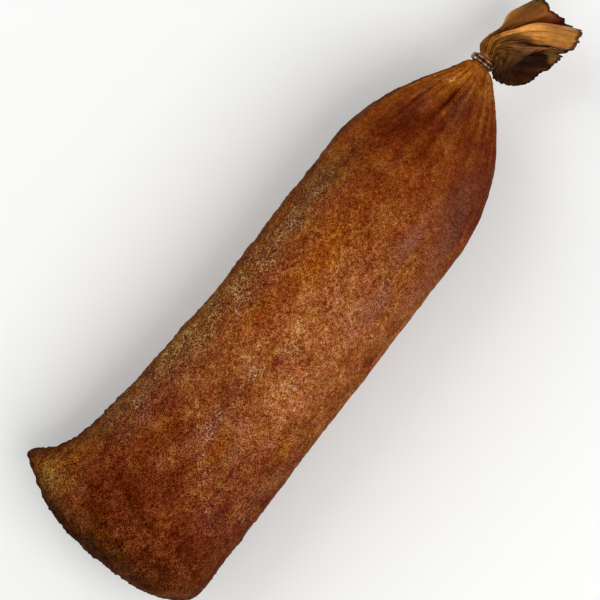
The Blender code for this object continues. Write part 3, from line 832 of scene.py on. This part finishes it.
def along_fold(points, share):
    """A smooth line through five rows of points, spaced evenly from the neck to the cut edge."""
    points = [*points, 2 * points[-1] - points[-2]]
    here = np.clip((share * 4).astype(int), 0, 3)[:, None]
    u = share[:, None] * 4 - here
    rows = np.stack(points)
    columns = np.arange(rows.shape[1])[:, None]
    axis = np.arange(rows.shape[2])[None, :]

    def row(step):
        return rows[np.clip(here + step, 0, 5), columns, axis]

    leave = np.where(here == 0, row(1) - row(0), (row(1) - row(-1)) / 2)
    arrive = (row(2) - row(0)) / 2
    return smooth_line(row(0), leave, row(1), arrive, u)


tail_turn = 360 * np.arange(TAIL_AROUND) / TAIL_AROUND
tail_angle = np.radians(tail_turn)
fold_degrees = [fold[0] for fold in TAIL_FOLDS]
neck_round = (NECK_RADIUS * np.cos(tail_angle), NECK_RADIUS * np.sin(tail_angle))
neck_ring = np.stack([np.full(TAIL_AROUND, NECK_HALF_LENGTH), *neck_round], axis=-1)
fold_rows = [neck_ring]
fold_rows += [
    closed_spline(fold_degrees, np.array([fold[i] for fold in TAIL_FOLDS]) * MM, tail_turn)
    for i in (1, 2, 3, 4)
]
# The cut edge is ragged: some of the skin stops short and some runs on.
ragged = np.array(
    [noise.fractal(Vector((math.cos(a) * 5, math.sin(a) * 5, 1.7)), 0.7, 2.1, 5) for a in tail_angle]
)
tail_shares = np.linspace(0, 1, TAIL_RINGS) ** 1.15
all_shares = np.append(0, tail_shares)[:, None]
creased = tail_creases(tail_turn[None, :], all_shares)
crumpled = crumples(tail_turn[None, :], all_shares)
tail_rings = [neck_ring * (0, 1, 1)]
for share in tail_shares:
    ring = along_fold(fold_rows, share * (1 + 0.045 * ragged))
    centre = ring.mean(axis=0)
    outward = ring - centre
    outward /= np.maximum(np.linalg.norm(outward, axis=1), 1e-6)[:, None]
    grown = float(smooth_step(0.0, 0.12, share))
    push = 2 * PLEAT_DEPTH * (1 - share) ** 2 * grown * pleat(tail_angle)
    ring = ring + (ring - centre) * push[:, None]
    for count, depth, phase in TAIL_PLEATS:
        wave = np.sin(count * tail_angle + phase + 1.5 * np.sin(3 * tail_angle + 4 * share))
        ring = ring + outward * (grown * depth * (1 - 0.75 * share) * wave)[:, None]
    tail_rings.append(ring)
tail_rings = np.array(tail_rings) + np.array(NECK)
along_skin = np.gradient(tail_rings, axis=0)
round_skin = (np.roll(tail_rings, -1, axis=1) - np.roll(tail_rings, 1, axis=1)) / 2
facing = np.cross(round_skin, along_skin)
facing /= np.maximum(np.linalg.norm(facing, axis=2), 1e-9)[..., None]
stand = CRUMPLE_DEPTH * crumpled - TAIL_CREASE_DEPTH * creased
tail_rings += facing * stand[..., None]
tail_count = len(tail_rings)
tail = mesh_piece(
    "casing_tail", tail_rings.reshape(-1, 3).tolist(), tube_faces(tail_count, TAIL_AROUND)
)
NECK_SKIN = srgb(130, 74, 26)
NECK_SKIN_SHARE = 0.85


def fold_colours(column):
    """The skin's colour, with its painted light and shade, all round the tail, from one column of the
    folds.
    """
    at_folds = np.array([srgb(*fold[column])[:3] for fold in TAIL_FOLDS])
    return np.clip(closed_spline(fold_degrees, at_folds, tail_turn), 0.002, 1)


half_way, at_edge = fold_colours(5), fold_colours(6)
shares = np.append(0, tail_shares)[:, None, None]
early = 1 - smooth_step(0.12, 0.58, shares)
# The edge's colour begins at this share of the way, and over this much of it.
BORDER_AT = (
    (0, 0.84), (60, 0.84), (72, 0.72), (100, 0.72), (112, 0.84), (150, 0.84), (192, 0.66),
    (215, 0.62), (228, 0.85), (236, 1.0), (245, 0.93), (265, 0.86), (290, 0.82), (310, 0.84),
    (360, 0.84),
)
BORDER_BLUR = ((0, 0.12), (222, 0.12), (236, 0.02), (290, 0.02), (310, 0.12), (360, 0.12))
border = graded(tail_turn, BORDER_AT)[None, :, None]
blur = graded(tail_turn, BORDER_BLUR)[None, :, None]
late = smooth_step(border - blur, border + blur, shares)
colours = (half_way[None] * (1 - late) + at_edge[None] * late) * (1 - NECK_SKIN_SHARE * early)
colours += np.array(NECK_SKIN[:3]) * NECK_SKIN_SHARE * early
rgba = np.concatenate([colours, np.ones((*colours.shape[:2], 1))], axis=-1)
painted = tail.data.attributes.new("skin_colour_and_shading", "FLOAT_COLOR", "POINT")
painted.data.foreach_set("color", rgba.astype(np.float32).ravel())
paint(tail, "turn", np.broadcast_to(tail_turn / 360, (tail_count, TAIL_AROUND)))
paint(tail, "share", np.repeat(np.append(0, tail_shares), TAIL_AROUND))
# Painted shade in the creases and painted highlight on the crumpled ridges near the neck.
paint(tail, "crease_shade", np.maximum(creased, np.clip(-0.9 * crumpled, 0, 1)))
ridge_highlight_reach = (1 - smooth_step(0.25, 0.75, all_shares)) * (1 - smooth_step(150, 175, tail_turn))
paint(tail, "ridge_highlight", np.clip(crumpled, 0, 1) * ridge_highlight_reach)

wall = tail.modifiers.new("wall", "SOLIDIFY")
wall.thickness = SKIN_THICKNESS
wall.offset = -1


def tail_material():
    material, n = new_material("dry_skin")
    along = n.add(
        "ShaderNodeCombineXYZ",
        X=n.maths("MULTIPLY", n.mask("turn"), 60.0),
        Y=n.maths("MULTIPLY", n.mask("share"), 3.0),
    ).outputs[0]
    fibres = n.noise(along, 1.6, 4.0, 0.6)
    mottle = n.noise(n.place(), 260.0, 3.0, 0.6)
    shade = n.maths("MULTIPLY_ADD", n.maths("SUBTRACT", fibres, 0.5), 1.6, 1.0)
    shade = n.maths("MULTIPLY_ADD", n.maths("SUBTRACT", mottle, 0.5), 1.1, shade)
    base = n.add("ShaderNodeAttribute", {"attribute_name": "skin_colour_and_shading"}).outputs["Color"]
    shades = n.add("ShaderNodeCombineXYZ", X=shade, Y=shade, Z=shade).outputs[0]
    colour = n.mix(1.0, base, shades, "MULTIPLY")
    # Painted highlight, golden, along the ridges, painted shade down in the creases, nearly black where
    # the edge has dried.
    colour = n.mix(n.maths("MULTIPLY", n.mask("ridge_highlight"), 0.75), colour, srgb(156, 100, 40))
    near_edge = n.maths("MULTIPLY_ADD", fibres, 0.03, n.mask("share"))
    edge = n.between(near_edge, 0.975, 0.995, 0.0, 0.8)
    dark = n.maths("MAXIMUM", n.maths("MULTIPLY", n.mask("crease_shade"), 0.78), edge)
    colour = n.mix(dark, colour, srgb(30, 13, 6))
    height = n.maths("MULTIPLY_ADD", fibres, 1.5, mottle)
    bump = n.add("ShaderNodeBump", Strength=0.5, Distance=0.3 * MM, Height=height)
    n.finish(
        Base_Color=colour,
        Roughness=0.42,
        Specular_IOR_Level=0.06,
        Specular_Tint=(1.0, 0.7, 0.45, 1),
        Normal=bump.outputs[0],
    )
    return material


run_tree(
    tail,
    skin_relief,
    Dent_Depth=0.5 * MM,
    Dent_Size=6 * MM,
    Wrinkle_Depth=0.30 * MM,
    Wrinkle_Size=1.8 * MM,
    Skin=tail_material(),
)
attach(tail, "root")
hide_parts("sausage")

# ---------------------------------------------------------------------------------------------
# The clip: soft aluminium wire wound nearly twice round the neck and nipped off, so that its two
# ends lie beside each other. The solid from the frame has its shape, so it stays, in dulled metal
# that the smoke has browned.


def clip_material():
    material, n = new_material("clip_wire")
    place = n.place()
    stain = n.noise(place, 520.0, 4.0, 0.6)
    scratch = n.noise(place, 1900.0, 2.0, 0.5)
    colour = n.ramp(
        stain,
        (0.35, srgb(72, 50, 34)),
        (0.70, srgb(196, 166, 138)),
        (0.52, srgb(124, 92, 64)),
    )
    bump = n.add("ShaderNodeBump", Strength=0.3, Distance=0.08 * MM, Height=scratch)
    n.finish(
        Base_Color=colour,
        Metallic=1.0,
        Roughness=n.maths("MULTIPLY_ADD", scratch, 0.3, 0.2),
        Normal=bump.outputs[0],
    )
    return material


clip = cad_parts["clip"]
clip.data.materials.clear()
clip.data.materials.append(clip_material())

# ---------------------------------------------------------------------------------------------
# The studio: a plain pale floor, two broad soft lights from the sides, and a camera straight
# above.

FLOOR_SIZE = 3.0
FLOOR_GAP = 0.2 * MM
bpy.ops.mesh.primitive_plane_add(size=FLOOR_SIZE, location=(0, 0, -FLOOR_GAP))
floor = bpy.context.object
floor.name = "floor"
plain = bpy.data.materials.new("pale_floor")
plain.use_nodes = True
plain_surface = plain.node_tree.nodes["Principled BSDF"]
plain_surface.inputs["Base Color"].default_value = (0.93, 0.93, 0.92, 1)
plain_surface.inputs["Roughness"].default_value = 0.9
plain_surface.inputs["Specular IOR Level"].default_value = 0.1
floor.data.materials.append(plain)


def soft_light(name, place, size, power, aim=(0, 0, 0.04)):
    data = bpy.data.lights.new(name, "AREA")
    data.shape = "SQUARE"
    data.size = size
    data.energy = power
    lamp = bpy.data.objects.new(name, data)
    bpy.context.scene.collection.objects.link(lamp)
    lamp.location = place
    lamp.rotation_euler = (Vector(aim) - Vector(place)).to_track_quat("-Z", "Y").to_euler()


soft_light("key_softbox", (-0.10, -0.62, 1.05), 0.9, 7.0)
soft_light("fill_softbox", (0.10, 0.85, 0.90), 0.9, 4.8)

world = bpy.data.worlds.new("studio")
world.use_nodes = True
world.node_tree.nodes["Background"].inputs["Color"].default_value = (1, 1, 1, 1)
world.node_tree.nodes["Background"].inputs["Strength"].default_value = 0.52
bpy.context.scene.world = world
bpy.context.scene.view_settings.view_transform = "Standard"

CAMERA_TURN = math.radians(-52.5)
CAMERA_HEIGHT = 1.2
VIEW_WIDTH = 294 * MM  # across the picture, at the height of the clip
VIEW_CENTRE = Vector((NECK.x - 147.1 * MM, NECK.y + 0.1 * MM, CAMERA_HEIGHT))
lens = bpy.data.cameras.new("above")
lens.sensor_width = 36
lens.lens = lens.sensor_width * (CAMERA_HEIGHT - CLIP_HEIGHT) / VIEW_WIDTH
camera = bpy.data.objects.new("above", lens)
camera.location = VIEW_CENTRE
camera.rotation_euler = (0, 0, CAMERA_TURN)
bpy.context.scene.collection.objects.link(camera)
bpy.context.scene.camera = camera
